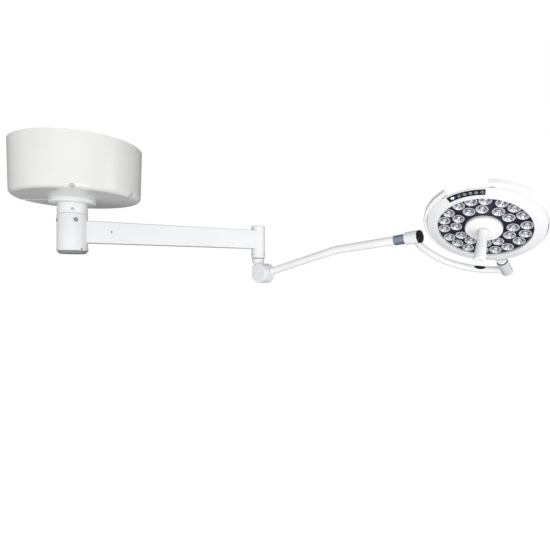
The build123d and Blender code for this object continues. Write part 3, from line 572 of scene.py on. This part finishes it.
def build_arm_details():
    """Weld beads at both ends of the arm, its side screw, and the screws that hold the sleeve's cap."""
    near = weld_path(SLEEVE_R, 1)
    wire("arm_weld_sleeve", near, 1.1 * MM, enamel, "main_arm")
    far = [SWIVEL @ point for point in weld_path(HOUSING_R, -1)]
    wire("arm_weld_housing", far, 0.9 * MM, enamel, "main_arm")
    side_screw = Vector((0.136, arm_low.y, arm_high.z - 0.04))
    cap_screw_z = sleeve_low.z + 0.005
    cap_screw_azimuths = (-57, 63, 183)
    screw_r = 3.0 * MM
    mesh = bmesh.new()
    screw_shape(mesh, frame_matrix(side_screw, (1, 0, 0), UP), screw_r, 0.8 * MM)
    for azimuth in cap_screw_azimuths:
        screw_shape(mesh, sleeve_frame(level_direction(azimuth), cap_screw_z, 0.2 * MM), screw_r, 0.7 * MM)
    finish_piece("arm_screws", mesh, black, "main_arm")


# ================================================================ knuckle
def build_knuckle_details():
    """A clamp screw in the rear boss, over the knuckle pin."""
    boss_r = 0.045
    screw_y = 0.0115
    angle = radians(-17)
    turn = KNUCKLE.to_3x3()
    out = turn @ Vector((cos(angle), 0, sin(angle)))
    along = turn @ Vector((0, 1, 0))
    centre = KNUCKLE @ Vector((boss_r * cos(angle), screw_y, boss_r * sin(angle)))
    mesh = bmesh.new()
    socket_shape(mesh, frame_matrix(centre - out * 0.4 * MM, along, out.cross(along)), 3.0 * MM, 2.0 * MM)
    finish_piece("boss_clamp_screw", mesh, black, "spring_arm")


# ================================================================ lamp head
PANEL_FRONT = -0.004          # the lens panel's face, in the head's frame
# The optics of one light, as (radius, height) in millimetres over the panel's face.
LENS_RIM = in_mm([(15.9, -0.2), (17.5, -0.2), (17.5, 0.5), (17.0, 1.0), (16.3, 1.0), (15.9, 0.5)])
LENS_BOWL = in_mm([(16.0, 0.6), (14.4, -0.2), (12.2, -1.6), (9.6, -3.4), (7.4, -5.0), (6.6, -5.6)])
LENS_CENTRE = in_mm([(7.4, -5.2), (7.2, -2.2), (6.4, -1.2), (5.9, -1.5), (5.0, -0.8), (4.5, -1.1),
                     (3.2, -0.2), (1.6, 0.2), (0, 0.3)])
LENS_COVER = in_mm([(16.2, 0.7), (15.6, 1.0), (13, 1.5), (9, 2.0), (5, 2.3), (0, 2.45)])
LENS_FLUTES = 12
LENS_FLUTE_DEPTH = 0.35 * MM
LENS_LEGS = 6


def lens_places():
    """One frame per lens: Z points out of the panel, X away from the head's centre."""
    inverse = HEAD.inverted()
    places = []
    for centre in islands("led_lenses"):
        local = inverse @ centre
        out = Vector((local.x, local.y, 0)).normalized()
        turn = Matrix((out, Vector((out.y, -out.x, 0)), Vector((0, 0, -1)))).transposed().to_4x4()
        places.append(HEAD @ move(local.x, local.y, PANEL_FRONT) @ turn)
    return places


def add_lens_holder(mesh, place):
    """The dark holder of one lens: six sloping legs and a ring round the lens."""
    for k in range(LENS_LEGS):
        turn = 360 * (k + 0.5) / LENS_LEGS
        spoke = place @ about_z(turn) @ move(10.6 * MM, 0, -1.9 * MM) @ about_y(-35)
        ribbon(mesh, in_mm([(-2.2, 0), (2.2, 0)]), 2.0 * MM, 0.9 * MM, spoke)
    ring_place = place @ move(0, 0, -3.4 * MM)
    ribbon(mesh, circle_points(7.9 * MM, 28), 1.0 * MM, 0.5 * MM, ring_place, closed=True)


def build_lenses():
    """Each light: a rim, a fluted silver bowl, a stepped centre lens, its dark holder and a clear front."""
    rims = bmesh.new()
    bowls = bmesh.new()
    centres = bmesh.new()
    legs = bmesh.new()
    covers = bmesh.new()
    for place in lens_places():
        closed_lathe(rims, LENS_RIM, place, 40)
        lathe(bowls, LENS_BOWL, place, 72, LENS_FLUTES, LENS_FLUTE_DEPTH)
        lathe(centres, LENS_CENTRE, place, 32)
        add_lens_holder(legs, place)
        lathe(covers, LENS_COVER, place, 40)
    rim = finish_piece("lens_rims", rims, icon_white, "lamp_head")
    finish_piece("lens_bowls", bowls, lens_silver, "lamp_head")
    finish_piece("lens_centres", centres, lens_silver, "lamp_head")
    finish_piece("lens_holder_legs", legs, black, "lamp_head")
    finish_piece("lens_covers", covers, lens_cover, "lamp_head")
    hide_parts("led_lenses")


def button_frame(name):
    """The top of a button: Z out of its face, Y away from the head's centre."""
    outward = -Vector(joints[name + "_press"]["axis"])
    reach = max(vertex.co.dot(outward) for vertex in nodes[name].data.vertices)
    middle = islands(name)[0]
    top = middle + outward * (reach - middle.dot(outward))
    in_head = HEAD.inverted() @ top
    away = HEAD.to_3x3() @ Vector((in_head.x, in_head.y, 0)).normalized()
    side = away.cross(outward).normalized()
    return frame_matrix(top, side, outward.cross(side))


ICON_LINE = 0.55 * MM
ICON_HEIGHT = 0.12 * MM


def icon_strokes(name):
    """Plain generic symbols, in millimetres on the button's face: (points, closed) for each stroke."""
    if name == "power_button":
        return [(arc_points(2.6, 130, 410), False), ([(0, 0.6), (0, 3.4)], False)]
    if name == "colour_button":
        directions = [(cos(tau * k / 8), sin(tau * k / 8)) for k in range(8)]
        rays = [([(1.9 * x, 1.9 * y), (3.3 * x, 3.3 * y)], False) for x, y in directions]
        return [(circle_points(1.1, 18), True)] + rays
    if name == "depth_button":
        return [([(-2.2, rise), (0, rise + 2.2), (2.2, rise)], False) for rise in (0.6, -2.2)]
    circle_and_minus = [(circle_points(3.0, 28), True), ([(-1.5, 0), (1.5, 0)], False)]
    if name == "dimmer_up_button":
        return circle_and_minus + [([(0, -1.5), (0, 1.5)], False)]
    return circle_and_minus


def build_controls():
    """The printed ring and symbol on each button, and the lit display beside them."""
    ring_r = 4.6
    ring_line = 0.35 * MM
    for name in BUTTONS:
        place = button_frame(name)
        mesh = bmesh.new()
        ribbon(mesh, in_mm(circle_points(ring_r, 40)), ring_line, ICON_HEIGHT, place, closed=True)
        for points, closed in icon_strokes(name):
            ribbon(mesh, in_mm(points), ICON_LINE, ICON_HEIGHT, place, closed)
        finish_piece(name.replace("_button", "_symbol"), mesh, icon_white, name)
    build_display()


DISPLAY_TURN = -7.1           # from the power button, about the head's axis
BUTTON_STAND = 0.0007         # how far a button stands out of the strip


def build_display():
    """A small lit screen at the end of the strip, with bars in three colours inside a dark frame."""
    about_head = HEAD @ about_z(DISPLAY_TURN) @ HEAD.inverted()
    place = about_head @ button_frame("power_button") @ move(0, 0, -BUTTON_STAND)
    half_width = 8.2
    half_height = 4.4
    row_pitch = 2.3
    bar_height = 0.2 * MM
    frame_mesh = bmesh.new()
    outline = [(x * half_width, y * half_height) for x, y in CORNERS]
    ribbon(frame_mesh, in_mm(outline), 0.5 * MM, 0.35 * MM, place, closed=True)
    finish_piece("display_frame", frame_mesh, black, "lamp_head")
    screen = bmesh.new()
    for row in (1, 0, -1):
        ribbon(screen, in_mm([(-7.0, row * row_pitch), (3.2, row * row_pitch)]), 2.0 * MM, bar_height, place)
    finish_piece("display_screen", screen, screen_white, "lamp_head")
    blue = bmesh.new()
    ribbon(blue, in_mm([(3.7, 0), (7.6, 0)]), 7.0 * MM, bar_height, place)
    finish_piece("display_level", blue, screen_blue, "lamp_head")
    lime = bmesh.new()
    ribbon(lime, in_mm([(-7.4, -1.6), (-3.0, -1.6)]), 3.2 * MM, 0.3 * MM, place)
    finish_piece("display_mark", lime, screen_lime, "lamp_head")


def build_panel_details():
    """Small black screws between the sectors, which hold the lens panel."""
    screw_circle_r = 100 * MM
    face_down = Matrix.Rotation(pi, 4, "X")
    mesh = bmesh.new()
    for k in range(6):
        place = HEAD @ about_z(60 * k) @ move(screw_circle_r, 0, PANEL_FRONT) @ face_down
        screw_shape(mesh, place, 2.4 * MM, 1.0 * MM)
    finish_piece("panel_screws", mesh, black, "lamp_head")


def build_handle_details():
    """The moulded foot ring of the handle and its recessed end disc, in the head's frame."""
    foot = in_mm([(10.5, -24.5), (14.6, -24.0), (15.4, -22.9), (15.0, -21.8), (10.5, -21.6)])
    disc = in_mm([(13.6, -134.0), (13.2, -134.5), (11.6, -134.6), (11.0, -134.2), (0, -134.1)])
    ring = bmesh.new()
    closed_lathe(ring, foot, HEAD, 64)
    finish_piece("handle_foot_ring", ring, handle_white, "handle")
    end = bmesh.new()
    lathe(end, disc, HEAD, 48)
    finish_piece("handle_end_disc", end, cover_grey, "handle")


# ================================================================ stage
def build_stage():
    """A wide pale floor, far below the light."""
    floor_z = -2.6
    half = 40.0
    corners = [(x * half, y * half, floor_z) for x, y in CORNERS]
    data = bpy.data.meshes.new("floor")
    data.from_pydata(corners, [], [(0, 1, 2, 3)])
    n = Nodes("floor_paint")
    base = n.mix(n.ranged(n.noise(0.6, 3.0), 0.3, 0.7, 0.0, 1.0), (0.93, 0.93, 0.93), (0.96, 0.96, 0.96))
    data.materials.append(n.set(Base_Color=base, Roughness=0.9, Emission_Color=base, Emission_Strength=0.7))
    floor = bpy.data.objects.new("floor", data)
    bpy.context.scene.collection.objects.link(floor)
    floor.visible_diffuse = False
    floor.visible_glossy = False


CAMERA_PLACE = (-0.0521, -1.7972, -0.5015)
CAMERA_YAW = 0.4936           # radians from +Y towards +X, and the next two are in radians too
CAMERA_PITCH = 0.0094
CAMERA_ROLL = -0.0037
CAMERA_LENS = 27.55           # millimetres
CAMERA_SHIFT = (-0.0154, -0.0009)


def view_axes():
    """The camera's forward, right and up directions."""
    level_forward = Vector((sin(CAMERA_YAW), cos(CAMERA_YAW), 0))
    forward = level_forward * cos(CAMERA_PITCH) + UP * sin(CAMERA_PITCH)
    level_right = Vector((cos(CAMERA_YAW), -sin(CAMERA_YAW), 0))
    level_up = level_right.cross(forward)
    right = level_right * cos(CAMERA_ROLL) + level_up * sin(CAMERA_ROLL)
    up = level_up * cos(CAMERA_ROLL) - level_right * sin(CAMERA_ROLL)
    return forward, right, up


def build_camera():
    """The fitted view: its place, its turn, its lens and its shift."""
    forward, right, up = view_axes()
    matrix = Matrix((right, up, -forward)).transposed().to_4x4()
    matrix.translation = Vector(CAMERA_PLACE)
    data = bpy.data.cameras.new("camera")
    data.lens = CAMERA_LENS
    data.sensor_width = 36
    data.shift_x, data.shift_y = CAMERA_SHIFT
    data.clip_end = 200
    camera = bpy.data.objects.new("camera", data)
    camera.matrix_world = matrix
    bpy.context.scene.collection.objects.link(camera)
    bpy.context.scene.camera = camera


def build_world():
    """White to the camera's eye, but as a light it is strongest from the camera's side."""
    world = bpy.data.worlds.new("studio")
    bpy.context.scene.world = world
    world.use_nodes = True
    tree = world.node_tree
    background = tree.nodes["Background"]
    coords = tree.nodes.new("ShaderNodeTexCoord")
    dot = tree.nodes.new("ShaderNodeVectorMath")
    dot.operation = "DOT_PRODUCT"
    bright_side = -view_axes()[0]
    dot.inputs[1].default_value = bright_side
    tree.links.new(coords.outputs["Generated"], dot.inputs[0])
    level = tree.nodes.new("ShaderNodeMapRange")
    level.interpolation_type = "SMOOTHSTEP"
    for key, number in (("From Min", -0.7), ("From Max", 0.95), ("To Min", 0.17), ("To Max", 0.98)):
        level.inputs[key].default_value = number
    tree.links.new(dot.outputs["Value"], level.inputs["Value"])
    path = tree.nodes.new("ShaderNodeLightPath")
    seen = tree.nodes.new("ShaderNodeMix")
    seen.data_type = "FLOAT"
    tree.links.new(path.outputs["Is Camera Ray"], seen.inputs["Factor"])
    tree.links.new(level.outputs["Result"], seen.inputs["A"])
    seen.inputs["B"].default_value = 1.0
    tree.links.new(seen.outputs["Result"], background.inputs["Strength"])
    background.inputs["Color"].default_value = (1.0, 1.0, 1.0, 1.0)


def build_lights():
    """Soft panels: a key by the camera, one from the right, and one from below for the lamp head."""
    middle = Vector((0.5, -0.2, -0.35))
    panels = (
        ("key", Vector((-0.3, -2.9, -0.5)), 1.4, 5.0, middle),
        ("side", Vector((2.6, -2.0, -0.1)), 1.4, 9.0, middle),
        ("head_fill", Vector((0.2, -1.9, -1.5)), 1.0, 13.0, HEAD_CENTRE),
    )
    for name, place, size, power, target in panels:
        data = bpy.data.lights.new(name, "AREA")
        data.shape = "DISK"
        data.size = size
        data.energy = power
        light = bpy.data.objects.new(name, data)
        light.location = place
        light.rotation_euler = (target - place).to_track_quat("-Z", "Y").to_euler()
        bpy.context.scene.collection.objects.link(light)


build_camera()
build_world()
build_lights()
build_stage()
bpy.context.scene.view_settings.view_transform = "Standard"
dress_cad()
build_swivel_ring()
build_canopy_screw_rings()
build_canopy_seam()
build_brake_rims()
build_arm_details()
build_knuckle_details()
build_lenses()
build_panel_details()
build_controls()
build_handle_details()

bpy.context.view_layer.update()
